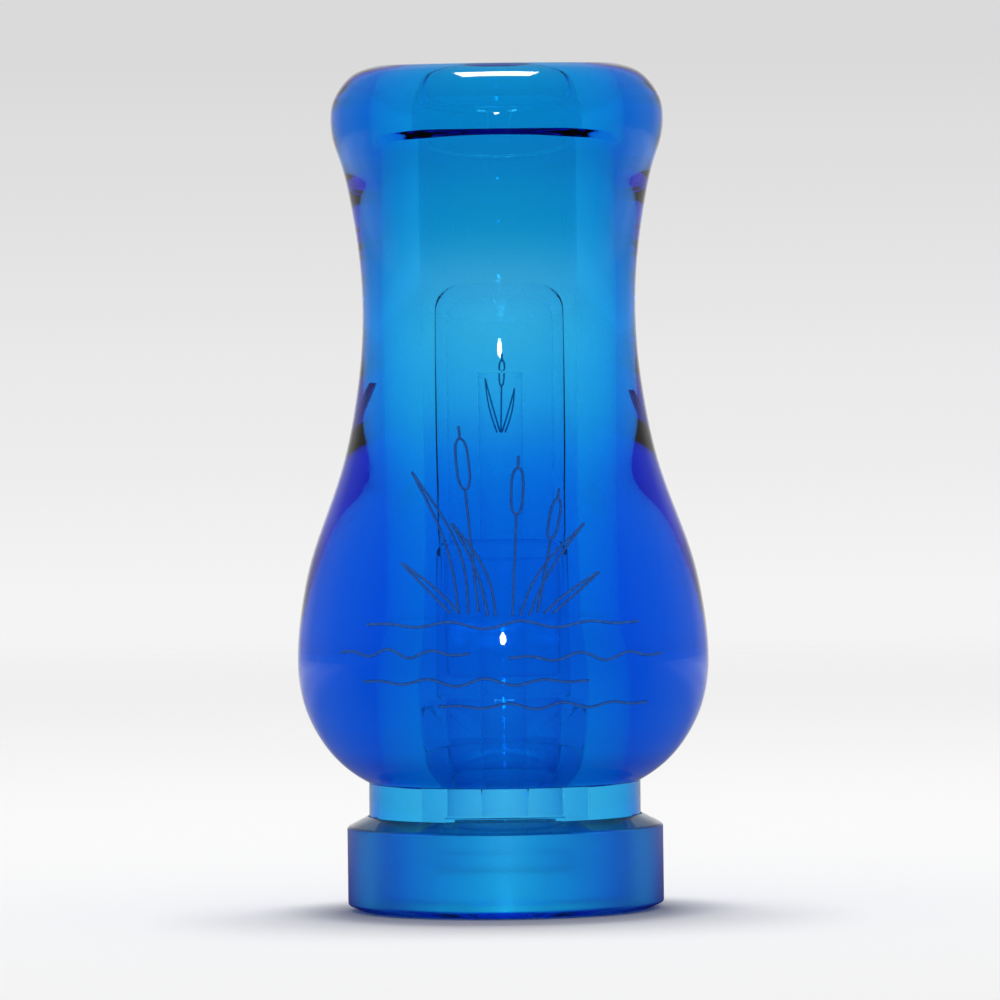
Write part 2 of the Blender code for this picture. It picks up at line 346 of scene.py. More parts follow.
def band_outline():
    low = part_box("end_band")[0].z / MM
    slope = math.degrees(math.atan2(BAND_SHOULDER_DROP, BAND_R - BAND_BORE_R))
    corner = (BAND_R - BAND_CORNER_R, BAND_TOP - BAND_SHOULDER_DROP - BAND_CORNER_R)
    shoulder = arc_points(corner, BAND_CORNER_R, 90 - slope, 0)
    outline = [(BAND_BORE_R, BAND_TOP)] + plain(shoulder)
    outline += [(BAND_R, BAND_CHAMFER_TOP, 0.2), (BAND_R - BAND_CHAMFER_WIDTH, low), (BAND_BORE_R, low)]
    return eased(outline, 0.08)


def stopper_outline():
    outline = [(SPIGOT_SEAT_R, STEM_TOP), (STEM_R - 0.4, STEM_TOP), (STEM_R, STEM_TOP - 0.4)]
    for height in sorted(RING_HEIGHTS.values(), reverse=True):
        low, high = height - RING_GROOVE_HALF, height + RING_GROOVE_HALF
        outline += [(STEM_R, high), (RING_GROOVE_R, high), (RING_GROOVE_R, low), (STEM_R, low)]
    outline += [
        (STEM_R, FOOT_THICKNESS),
        (FOOT_R, FOOT_THICKNESS),
        (FOOT_R, FOOT_CHAMFER),
        (FOOT_R - FOOT_CHAMFER, 0.0),
        (EXHAUST_R + EXHAUST_FLARE, 0.0, 0.2),
        (EXHAUST_R + EXHAUST_FLARE * 0.35, EXHAUST_FLARE * 0.5, 0.3),
        (EXHAUST_R, EXHAUST_FLARE * 1.4, 0.3),
        (EXHAUST_R, SPIGOT_SEAT_FLOOR),
        (SPIGOT_SEAT_R, SPIGOT_SEAT_FLOOR),
    ]
    return eased(outline, 0.12)


def ring_outline(height):
    return arc_points((RING_CENTRE_R, height), RING_SECTION_R, 90, -270, steps=28)[:-1]


# ---------------------------------------------------------------- mesh tools


def turning_tree():
    """Node tree that turns an outline about Z: a ring carries the outline round."""
    tree = bpy.data.node_groups.new("Turned on a lathe", "GeometryNodeTree")
    face = tree.interface
    face.new_socket("Outline", in_out="INPUT", socket_type="NodeSocketGeometry")
    face.new_socket("Steps", in_out="INPUT", socket_type="NodeSocketInt")
    face.new_socket("Turning Radius", in_out="INPUT", socket_type="NodeSocketFloat")
    face.new_socket("Finish", in_out="INPUT", socket_type="NodeSocketMaterial")
    face.new_socket("Turned", in_out="OUTPUT", socket_type="NodeSocketGeometry")
    nodes, links = tree.nodes, tree.links
    given = nodes.new("NodeGroupInput")
    ring = nodes.new("GeometryNodeCurvePrimitiveCircle")
    upright = nodes.new("GeometryNodeSetCurveNormal")
    upright.mode = "Z_UP"
    carried = nodes.new("GeometryNodeCurveToMesh")
    smooth = nodes.new("GeometryNodeSetShadeSmooth")
    real = nodes.new("GeometryNodeRealizeInstances")
    finish = nodes.new("GeometryNodeSetMaterial")
    made = nodes.new("NodeGroupOutput")
    links.new(given.outputs["Steps"], ring.inputs["Resolution"])
    links.new(given.outputs["Turning Radius"], ring.inputs["Radius"])
    links.new(ring.outputs["Curve"], upright.inputs["Curve"])
    links.new(upright.outputs["Curve"], carried.inputs["Curve"])
    links.new(given.outputs["Outline"], carried.inputs["Profile Curve"])
    links.new(carried.outputs["Mesh"], smooth.inputs["Geometry"])
    links.new(smooth.outputs["Geometry"], real.inputs["Geometry"])
    links.new(real.outputs["Geometry"], finish.inputs["Geometry"])
    links.new(given.outputs["Finish"], finish.inputs["Material"])
    links.new(finish.outputs["Geometry"], made.inputs["Turned"])
    return tree


def engraving_tree():
    """Node tree that runs a round cutter's line along every drawn stroke."""
    tree = bpy.data.node_groups.new("Engraved strokes", "GeometryNodeTree")
    face = tree.interface
    face.new_socket("Strokes", in_out="INPUT", socket_type="NodeSocketGeometry")
    face.new_socket("Line Radius", in_out="INPUT", socket_type="NodeSocketFloat")
    face.new_socket("Finish", in_out="INPUT", socket_type="NodeSocketMaterial")
    face.new_socket("Engraved", in_out="OUTPUT", socket_type="NodeSocketGeometry")
    nodes, links = tree.nodes, tree.links
    given = nodes.new("NodeGroupInput")
    cutter = nodes.new("GeometryNodeCurvePrimitiveCircle")
    cutter.inputs["Resolution"].default_value = 8
    carried = nodes.new("GeometryNodeCurveToMesh")
    carried.inputs["Fill Caps"].default_value = True
    smooth = nodes.new("GeometryNodeSetShadeSmooth")
    real = nodes.new("GeometryNodeRealizeInstances")
    finish = nodes.new("GeometryNodeSetMaterial")
    made = nodes.new("NodeGroupOutput")
    links.new(given.outputs["Line Radius"], cutter.inputs["Radius"])
    links.new(given.outputs["Strokes"], carried.inputs["Curve"])
    links.new(cutter.outputs["Curve"], carried.inputs["Profile Curve"])
    links.new(carried.outputs["Mesh"], smooth.inputs["Geometry"])
    links.new(smooth.outputs["Geometry"], real.inputs["Geometry"])
    links.new(real.outputs["Geometry"], finish.inputs["Geometry"])
    links.new(given.outputs["Finish"], finish.inputs["Material"])
    links.new(finish.outputs["Geometry"], made.inputs["Engraved"])
    return tree


def socket_id(tree, name):
    return next(item.identifier for item in tree.interface.items_tree if item.name == name)


def curve_of(name, strokes):
    """Curve object with a straight-sided line for each list of points, closed where it meets its start."""
    curve = bpy.data.curves.new(name, "CURVE")
    curve.dimensions = "3D"
    for points in strokes:
        closed = (Vector(points[0]) - Vector(points[-1])).length < 1e-7
        if closed:
            points = points[:-1]
        line = curve.splines.new("POLY")
        line.points.add(len(points) - 1)
        for point, place_at in zip(line.points, points):
            point.co = (*place_at, 1.0)
        line.use_cyclic_u = closed
    guide = bpy.data.objects.new(name, curve)
    bpy.context.scene.collection.objects.link(guide)
    return guide


def grown(name, guide, tree, values):
    """The mesh that a tree grows from a guide curve, as a finished piece."""
    modifier = guide.modifiers.new(tree.name, "NODES")
    modifier.node_group = tree
    for socket, value in values.items():
        modifier[socket_id(tree, socket)] = value
    graph = bpy.context.evaluated_depsgraph_get()
    mesh = bpy.data.meshes.new_from_object(guide.evaluated_get(graph))
    bpy.data.objects.remove(guide)
    return finished(name, mesh, values["Finish"])


def finished(name, mesh, finish):
    """Merges doubles, turns the faces out and makes the piece."""
    shape = bmesh.new()
    shape.from_mesh(mesh)
    bmesh.ops.remove_doubles(shape, verts=shape.verts, dist=1e-7)
    bmesh.ops.recalc_face_normals(shape, faces=shape.faces)
    shape.to_mesh(mesh)
    shape.free()
    mesh.name = name
    if finish.name not in mesh.materials:
        mesh.materials.append(finish)
    piece = bpy.data.objects.new(name, mesh)
    bpy.context.scene.collection.objects.link(piece)
    return piece


def turned(name, outline, finish, steps=TURNING_STEPS):
    """A turned piece from a closed outline of (radius, height) points. The ring carries it upside down."""
    turning_radius = TURNING_RADIUS * MM
    points = [(radius * MM - turning_radius, -height * MM, 0.0) for radius, height in outline]
    guide = curve_of(name + "_outline", [points + points[:1]])
    values = {"Steps": steps, "Turning Radius": turning_radius, "Finish": finish}
    return grown(name, guide, TURNING, values)


def mesh_from(shape, name):
    """Turns a bmesh in millimetres into a mesh in metres, with its faces pointing out."""
    bmesh.ops.recalc_face_normals(shape, faces=shape.faces)
    bmesh.ops.scale(shape, vec=(MM, MM, MM), verts=shape.verts)
    mesh = bpy.data.meshes.new(name)
    shape.to_mesh(mesh)
    shape.free()
    return mesh


def helper(name, mesh):
    item = bpy.data.objects.new(name, mesh)
    bpy.context.scene.collection.objects.link(item)
    return item


def box_helper(name, low, high):
    shape = bmesh.new()
    bmesh.ops.create_cube(shape, size=1.0)
    bmesh.ops.scale(shape, vec=Vector(high) - Vector(low), verts=shape.verts)
    bmesh.ops.translate(shape, vec=(Vector(low) + Vector(high)) / 2, verts=shape.verts)
    return helper(name, mesh_from(shape, name))


def rod_helper(name, radius, low, high, centre_y=0.0):
    shape = bmesh.new()
    bmesh.ops.create_cone(
        shape, cap_ends=True, segments=96, radius1=radius, radius2=radius, depth=high - low
    )
    bmesh.ops.translate(shape, vec=(0.0, centre_y, (low + high) / 2), verts=shape.verts)
    return helper(name, mesh_from(shape, name))


def carved(name, blank, steps, finish, edge):
    """Runs the Boolean steps on a blank, eases its edges and leaves one plain mesh."""
    for operation, tool in steps:
        modifier = blank.modifiers.new(tool.name, "BOOLEAN")
        modifier.operation = operation
        modifier.solver = "EXACT"
        modifier.object = tool
    bevel = blank.modifiers.new("eased_edges", "BEVEL")
    bevel.width = edge * MM
    bevel.segments = 3
    bevel.limit_method = "ANGLE"
    bevel.angle_limit = math.radians(35)
    bevel.use_clamp_overlap = True
    graph = bpy.context.evaluated_depsgraph_get()
    mesh = bpy.data.meshes.new_from_object(blank.evaluated_get(graph))
    for item in [blank] + [tool for operation, tool in steps]:
        bpy.data.objects.remove(item)
    mesh.materials.clear()
    piece = finished(name, mesh, finish)
    piece.data.shade_smooth()
    piece.data.set_sharp_from_angle(angle=math.radians(30))
    return piece


# ---------------------------------------------------------------- tone board, reeds and wedge


def face_y(height):
    """The tone board's face falls away from the reeds towards the tip, on a large radius."""
    run = max(0.0, height - FACE_CURVE_START)
    return BOARD_FACE_Y + run * run / (2 * FACE_CURVE_R)


def board_section(height, steps=56):
    """Half-round section of the tone board, flat on the reeds' side and clipped to the rounded tip."""
    run = max(0.0, height - (BOARD_TIP - BOARD_TIP_ROUND))
    limit = BOARD_R - BOARD_TIP_ROUND + math.sqrt(max(0.0, BOARD_TIP_ROUND**2 - run * run))
    radius = BOARD_R - BLOCK_RELIEF * max(0.0, FACE_CURVE_START - height)
    start = math.asin(face_y(height) / radius)
    section = []
    for step in range(steps + 1):
        angle = start + (math.pi - 2 * start) * step / steps
        across = max(-limit, min(limit, radius * math.cos(angle)))
        section.append((across, radius * math.sin(angle), height))
    return section


def lofted(name, sections):
    shape = bmesh.new()
    rings = [[shape.verts.new(point) for point in section] for section in sections]
    for ring, following in zip(rings, rings[1:]):
        for i in range(len(ring)):
            after = (i + 1) % len(ring)
            shape.faces.new((ring[i], ring[after], following[after], following[i]))
    shape.faces.new(rings[0])
    shape.faces.new(rings[-1])
    return helper(name, mesh_from(shape, name))


def make_tone_board(finish):
    heights = [BLOCK_TOP - JOIN_OVERLAP] + list(
        np.linspace(FACE_CURVE_START, BOARD_TIP - BOARD_TIP_ROUND, 16)
    )
    for angle in range(8, 84, 8):
        heights.append(BOARD_TIP - BOARD_TIP_ROUND + BOARD_TIP_ROUND * math.sin(math.radians(angle)))
    heights.append(BOARD_TIP)
    blank = lofted("board_blank", [board_section(height) for height in heights])
    half = CHANNEL_R * TROUGH_SHARE
    steps = [
        ("UNION", rod_helper("clamp_block", BOARD_R, BOARD_FOOT, BLOCK_TOP)),
        ("UNION", rod_helper("spigot", SPIGOT_R, SPIGOT_FOOT, BOARD_FOOT + JOIN_OVERLAP)),
        (
            "DIFFERENCE",
            box_helper(
                "notch",
                (-NOTCH_HALF_WIDTH, NOTCH_ROOF_Y, NOTCH_FLOOR),
                (NOTCH_HALF_WIDTH, BOARD_FACE_Y, BLOCK_TOP + 0.3),
            ),
        ),
        ("DIFFERENCE", rod_helper("air_bore", CHANNEL_R, SPIGOT_FOOT - 1.0, CHANNEL_END, CHANNEL_Y)),
        (
            "DIFFERENCE",
            box_helper(
                "trough",
                (-half, BOARD_FACE_Y - 1.0, TROUGH_FOOT),
                (half, CHANNEL_Y, CHANNEL_END - 0.5),
            ),
        ),
    ]
    place(carved("tone_board_machined", blank, steps, finish, 0.08), "tone_unit", "tone_board")


def reed_outline(tip):
    inner = REED_HALF_WIDTH - REED_TIP_ROUND
    outline = [(-REED_HALF_WIDTH, REED_FOOT), (REED_HALF_WIDTH, REED_FOOT)]
    outline += arc_points((inner, tip - REED_TIP_ROUND), REED_TIP_ROUND, 0, 90, steps=14)
    outline += arc_points((-inner, tip - REED_TIP_ROUND), REED_TIP_ROUND, 90, 180, steps=14)
    return outline


def dimple_rings(shape, across_y, count=48):
    """Rings of a shallow round dimple, closed by a fan at its lowest point."""
    rings = []
    for share in (1.0, 0.85, 0.7, 0.55, 0.4, 0.2):
        sink = DIMPLE_DEPTH * (1 + math.cos(math.pi * share)) / 2
        ring = []
        for step in range(count):
            angle = 2 * math.pi * step / count
            across = DIMPLE_R * share * math.cos(angle)
            height = DIMPLE_HEIGHT + DIMPLE_R * share * math.sin(angle)
            ring.append(shape.verts.new((across, across_y + sink, height)))
        rings.append(ring)
    for ring, inner in zip(rings, rings[1:]):
        for step in range(count):
            after = (step + 1) % count
            shape.faces.new((ring[step], ring[after], inner[after], inner[step]))
    lowest = shape.verts.new((0.0, across_y + DIMPLE_DEPTH, DIMPLE_HEIGHT))
    for step in range(count):
        shape.faces.new((rings[-1][step], rings[-1][(step + 1) % count], lowest))
    return rings[0]


def make_reed(name, back_y, finish, dimpled):
    """A thin cut strip. The dimple of the upper reed is pressed towards the lower one."""
    outline = reed_outline(REED_TIPS[name])
    shape = bmesh.new()
    sides = []
    for across_y in (back_y, back_y - REED_THICKNESS):
        rim = [shape.verts.new((x, across_y, z)) for x, z in outline]
        edges = [shape.edges.new((a, b)) for a, b in zip(rim, rim[1:] + rim[:1])]
        if dimpled:
            ring = dimple_rings(shape, across_y)
            edges += [shape.edges.get((a, b)) for a, b in zip(ring, ring[1:] + ring[:1])]
        bmesh.ops.triangle_fill(shape, edges=edges, use_beauty=True)
        sides.append(rim)
    for i in range(len(outline)):
        after = (i + 1) % len(outline)
        shape.faces.new((sides[0][i], sides[0][after], sides[1][after], sides[1][i]))
    blank = helper(name + "_blank", mesh_from(shape, name))
    place(carved(name + "_cut", blank, [], finish, 0.04), name, name)


def make_wedge(finish):
    """The wedge block, tapered on the side away from the reeds, its edges worn round."""
    low, high = (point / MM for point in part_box("wedge_block"))
    blank = box_helper("wedge_blank", low, high)
    for vertex in blank.data.vertices:
        if vertex.co.z < (low.z + high.z) / 2 * MM and vertex.co.y < (low.y + high.y) / 2 * MM:
            vertex.co.y += WEDGE_TAPER * MM
    place(carved("wedge_cut", blank, [], finish, WEDGE_EDGE), "wedge", "wedge_block")


# ---------------------------------------------------------------- engraving


def barrel_radius(height):
    """Outer radius of the barrel at a height, in millimetres."""
    curve = spline(BARREL_STATIONS, 6)[::-1]
    return float(np.interp(height, [point[1] for point in curve], [point[0] for point in curve]))


def wrapped(stroke, side):
    """Lays a flat stroke of (across, height) points on the barrel's skin. Side is -1 front or 1 back."""
    points = []
    for across, height in stroke:
        radius = barrel_radius(height) - ENGRAVING_DEPTH
        angle = across / radius
        points.append((radius * math.sin(angle) * MM, side * radius * math.cos(angle) * MM, height * MM))
    return points


def leaning(foot, top, bend, steps=14):
    """A stem or blade from its foot to its top, bowed sideways by bend."""
    stroke = []
    for step in range(steps + 1):
        t = step / steps
        across = foot[0] + (top[0] - foot[0]) * t + bend * math.sin(math.pi * t)
        stroke.append((across, foot[1] + (top[1] - foot[1]) * t))
    return stroke


def blade(foot, top, bend, width):
    """A pointed grass blade, two edges that meet at the tip."""
    left = leaning((foot[0] - width / 2, foot[1]), top, bend - width / 3)
    right = leaning((foot[0] + width / 2, foot[1]), top, bend + width / 3)
    return [left, right]


def seed_head(centre, length, width, lean, steps=28):
    """The long round head of a cattail."""
    stroke = []
    for step in range(steps + 1):
        angle = 2 * math.pi * step / steps
        along = math.copysign(abs(math.sin(angle)) ** 0.6, math.sin(angle)) * length / 2
        across = math.cos(angle) * width / 2
        stroke.append((centre[0] + across + along * lean, centre[1] + along))
    return stroke


def cattail(foot_x, foot, top, lean, head):
    """A stem with its seed head and the short spike above it."""
    tip = (foot_x + lean * (top - foot), top)
    centre = (foot_x + lean * (top - foot - head * 0.75), top - head * 0.75)
    below = (centre[0] - lean * head / 2, centre[1] - head / 2)
    above = (centre[0] + lean * head / 2, centre[1] + head / 2)
    return [
        leaning((foot_x, foot), below, 0.0),
        seed_head(centre, head, head * 0.26, lean),
        leaning(above, tip, 0.0, 4),
    ]


def ripple(left, right, height, swell, waves, steps=60):
    """A line of water, flat at both ends."""
    stroke = []
    for step in range(steps + 1):
        t = step / steps
        rise = swell * math.sin(math.pi * t) * math.sin(2 * math.pi * waves * t)
        stroke.append((left + (right - left) * t, height + rise))
    return stroke


def marsh_strokes():
    strokes = []
    strokes += cattail(-2.2, 28.4, 45.2, -0.10, 4.6)
    strokes += cattail(0.9, 28.0, 42.4, 0.05, 4.2)
    strokes += cattail(3.2, 28.3, 39.4, 0.20, 3.6)
    strokes += blade((-3.6, 28.2), (-8.6, 41.0), 1.4, 0.9)
    strokes += blade((-1.0, 28.0), (-4.6, 36.4), 0.8, 0.7)
    strokes += blade((2.0, 28.0), (7.8, 36.2), -0.9, 0.8)
    strokes += blade((4.2, 28.2), (9.2, 31.8), -0.2, 0.8)
    strokes += blade((-4.4, 28.3), (-9.6, 32.8), 0.3, 0.8)
    strokes.append(ripple(-13.5, 13.5, 27.2, 0.35, 4))
    strokes.append(ripple(-17.0, -3.0, 24.6, 0.4, 3))
    strokes.append(ripple(0.5, 16.5, 24.2, 0.4, 3))
    strokes.append(ripple(-14.0, 8.0, 22.0, 0.35, 4))
    strokes.append(ripple(-6.0, 14.5, 19.8, 0.3, 4))
    return [wrapped(stroke, -1) for stroke in strokes]


def back_sprig_strokes():
    strokes = cattail(0.0, 41.5, 50.0, 0.03, 2.8)
    strokes += blade((-0.4, 41.5), (-2.4, 47.4), -0.2, 0.5)
    strokes += blade((0.4, 41.5), (2.2, 46.2), 0.2, 0.5)
    return [wrapped(stroke, 1) for stroke in strokes]


def make_engraving(finish):
    drawn = {"marsh_engraving": marsh_strokes(), "back_sprig_engraving": back_sprig_strokes()}
    for name, strokes in drawn.items():
        values = {"Line Radius": ENGRAVING_LINE_R * MM, "Finish": finish}
        piece = grown(name, curve_of(name + "_strokes", strokes), ENGRAVED, values)
        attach(piece, "barrel")


# ---------------------------------------------------------------- finishes


def group_with(name, inputs, outputs):
    group = bpy.data.node_groups.new(name, "ShaderNodeTree")
    for socket, value in inputs:
        made = group.interface.new_socket(socket, in_out="INPUT", socket_type="NodeSocketFloat")
        made.default_value = value
    for socket in outputs:
        group.interface.new_socket(socket, in_out="OUTPUT", socket_type="NodeSocketFloat")
    return group, group.nodes.new("NodeGroupInput"), group.nodes.new("NodeGroupOutput")


def math_node(nodes, links, operation, first, second):
    node = nodes.new("ShaderNodeMath")
    node.operation = operation
    for socket, value in zip(node.inputs, (first, second)):
        if isinstance(value, (int, float)):
            socket.default_value = value
        else:
            links.new(value, socket)
    return node.outputs["Value"]


def mixed(nodes, links, share, first, second):
    chosen = nodes.new("ShaderNodeMix")
    chosen.data_type = "RGBA"
    links.new(share, chosen.inputs["Factor"])
    for socket, value in (("A", first), ("B", second)):
        if isinstance(value, tuple):
            chosen.inputs[socket].default_value = value
        else:
            links.new(value, chosen.inputs[socket])
    return chosen.outputs["Result"]


def noise_node(nodes, links, vector, scale, detail=2.0):
    node = nodes.new("ShaderNodeTexNoise")
    links.new(vector, node.inputs["Vector"])
    node.inputs["Detail"].default_value = detail
    if isinstance(scale, (int, float)):
        node.inputs["Scale"].default_value = scale
    else:
        links.new(scale, node.inputs["Scale"])
    return node.outputs["Fac"]


def turning_marks_group():
    """Rings left by the tool and the polish, and the soft unevenness of a hand-sanded surface."""
    group, given, made = group_with(
        "Turning marks", [("Rings per Metre", FINE_RINGS), ("Unevenness", 0.3)], ["Height"]
    )
    nodes, links = group.nodes, group.links
    where = nodes.new("ShaderNodeTexCoord")
    parts = nodes.new("ShaderNodeSeparateXYZ")
    links.new(where.outputs["Object"], parts.inputs[0])
    along = math_node(nodes, links, "MULTIPLY", parts.outputs["Z"], given.outputs["Rings per Metre"])
    rings = nodes.new("ShaderNodeTexNoise")
    rings.noise_dimensions = "1D"
    rings.inputs["Detail"].default_value = 3.0
    rings.inputs["Scale"].default_value = 1.0
    links.new(along, rings.inputs["W"])
    hollows = noise_node(nodes, links, where.outputs["Object"], 260.0, 2.0)
    soft = math_node(nodes, links, "MULTIPLY", hollows, given.outputs["Unevenness"])
    links.new(math_node(nodes, links, "ADD", rings.outputs["Fac"], soft), made.inputs["Height"])
    return group


def scratches_group():
    """Sparse fine handling scratches: thin bands of stretched noise, broken up by patches."""
    group, given, made = group_with(
        "Handling scratches", [("Amount", 0.5), ("Patch Size", 90.0)], ["Scratch Mask"]
    )
    nodes, links = group.nodes, group.links
    where = nodes.new("ShaderNodeTexCoord")
    total = None
    for turn, stretch in (((0.5, 0.2, 0.3), (260, 3200, 420)), ((1.9, 0.8, -0.6), (3000, 240, 500))):
        turned_by = nodes.new("ShaderNodeMapping")
        turned_by.inputs["Rotation"].default_value = turn
        turned_by.inputs["Scale"].default_value = stretch
        links.new(where.outputs["Object"], turned_by.inputs["Vector"])
        lines = noise_node(nodes, links, turned_by.outputs["Vector"], 1.0, 0.0)
        band = nodes.new("ShaderNodeMapRange")
        band.interpolation_type = "SMOOTHSTEP"
        band.inputs["From Min"].default_value = SCRATCH_THRESHOLD[0]
        band.inputs["From Max"].default_value = SCRATCH_THRESHOLD[1]
        links.new(lines, band.inputs["Value"])
        total = band.outputs["Result"] if total is None else math_node(
            nodes, links, "MAXIMUM", total, band.outputs["Result"]
        )
    patches = noise_node(nodes, links, where.outputs["Object"], given.outputs["Patch Size"], 1.0)
    chosen = nodes.new("ShaderNodeMapRange")
    chosen.interpolation_type = "SMOOTHSTEP"
    chosen.inputs["From Min"].default_value = SCRATCH_PATCHES[0]
    chosen.inputs["From Max"].default_value = SCRATCH_PATCHES[1]
    links.new(patches, chosen.inputs["Value"])
    both = math_node(nodes, links, "MULTIPLY", total, chosen.outputs["Result"])
    links.new(math_node(nodes, links, "MULTIPLY", both, given.outputs["Amount"]), made.inputs["Scratch Mask"])
    return group


def placed_group(nodes, group, values):
    node = nodes.new("ShaderNodeGroup")
    node.node_tree = group
    for socket, value in values.items():
        node.inputs[socket].default_value = value
    return node


def colour_ramp(nodes, stops):
    ramp = nodes.new("ShaderNodeValToRGB")
    ramp.color_ramp.interpolation = "EASE"
    marks = ramp.color_ramp.elements
    while len(marks) > 1:
        marks.remove(marks[-1])
    for i, (place_at, tint) in enumerate(stops):
        mark = marks[0] if i == 0 else marks.new(place_at)
        mark.position = place_at
        mark.color = (*tint, 1.0)
    return ramp


def painted_light_and_shade_by_height(nodes, links, stops):
    """Painted light and shade as a surface tint by height in millimetres. It is fitted: the real plastic has
    one colour throughout.
    """
    where = nodes.new("ShaderNodeTexCoord")
    parts = nodes.new("ShaderNodeSeparateXYZ")
    links.new(where.outputs["Object"], parts.inputs[0])
    height = nodes.new("ShaderNodeMapRange")
    height.inputs["From Max"].default_value = stops[-1][0] * MM
    links.new(parts.outputs["Z"], height.inputs["Value"])
    ramp = colour_ramp(nodes, [(at_height / stops[-1][0], tint) for at_height, tint in stops])
    links.new(height.outputs["Result"], ramp.inputs["Fac"])
    return ramp.outputs["Color"]


def clear_plastic(name, tint, density, ior=1.49, coat=0.0):
    """Clear cast plastic, coloured by what it absorbs along the light's way through it."""
    made = bpy.data.materials.new(name)
    made.use_nodes = True
    nodes, links = made.node_tree.nodes, made.node_tree.links
    shader = nodes["Principled BSDF"]
    shader.inputs["Base Color"].default_value = (1.0, 1.0, 1.0, 1.0)
    shader.inputs["IOR"].default_value = ior
    shader.inputs["Coat Weight"].default_value = coat
    shader.inputs["Transmission Weight"].default_value = 1.0
    depth = nodes.new("ShaderNodeVolumeAbsorption")
    depth.inputs["Color"].default_value = (*tint, 1.0)
    depth.inputs["Density"].default_value = density
    links.new(depth.outputs["Volume"], nodes["Material Output"].inputs["Volume"])
    return made, nodes, links, shader


def bumped(nodes, links, shader, height, distance):
    bump = nodes.new("ShaderNodeBump")
    bump.inputs["Distance"].default_value = distance
    links.new(height, bump.inputs["Height"])
    links.new(bump.outputs["Normal"], shader.inputs["Normal"])


def worn_roughness(nodes, links, shader, mask, low, high):
    spread = nodes.new("ShaderNodeMapRange")
    spread.inputs["To Min"].default_value = low
    spread.inputs["To Max"].default_value = high
    links.new(mask, spread.inputs["Value"])
    links.new(spread.outputs["Result"], shader.inputs["Roughness"])


def with_painted_edge_shade(nodes, links, shader):
    """Paints shade on a thin clear piece towards its edges, in place of the darkening that refraction gives,
    and lets soft light through it to what lies behind.
    """
    edge = nodes.new("ShaderNodeLayerWeight")
    edge.inputs["Blend"].default_value = 0.45
    tint = mixed(nodes, links, edge.outputs["Facing"], INNER_FACE, INNER_PAINTED_EDGE_SHADE)
    links.new(tint, shader.inputs["Base Color"])
    rays = nodes.new("ShaderNodeLightPath")
    soft = math_node(nodes, links, "MAXIMUM", rays.outputs["Is Shadow Ray"], rays.outputs["Is Diffuse Ray"])
    solid = nodes.new("ShaderNodeMapRange")
    solid.inputs["To Min"].default_value = 1.0
    solid.inputs["To Max"].default_value = INNER_SHADE
    links.new(soft, solid.inputs["Value"])
    links.new(solid.outputs["Result"], shader.inputs["Alpha"])


def blue_acrylic(marks, scratches):
    made, nodes, links, shader = clear_plastic("blue_acrylic", BLUE_TINT, BLUE_DENSITY)
    # Base colour: painted light and shade by height
    links.new(painted_light_and_shade_by_height(nodes, links, BARREL_PAINTED_LIGHT_AND_SHADE), shader.inputs["Base Color"])
    rings = placed_group(nodes, marks, {"Rings per Metre": FINE_RINGS, "Unevenness": 0.5})
    worn = placed_group(nodes, scratches, {"Amount": 0.6, "Patch Size": 90.0})
    worn_roughness(nodes, links, shader, worn.outputs["Scratch Mask"], 0.012, 0.25)
    cut = math_node(nodes, links, "MULTIPLY", worn.outputs["Scratch Mask"], -0.6)
    height = math_node(nodes, links, "ADD", rings.outputs["Height"], cut)
    bumped(nodes, links, shader, height, BLUE_BUMP)
    return made


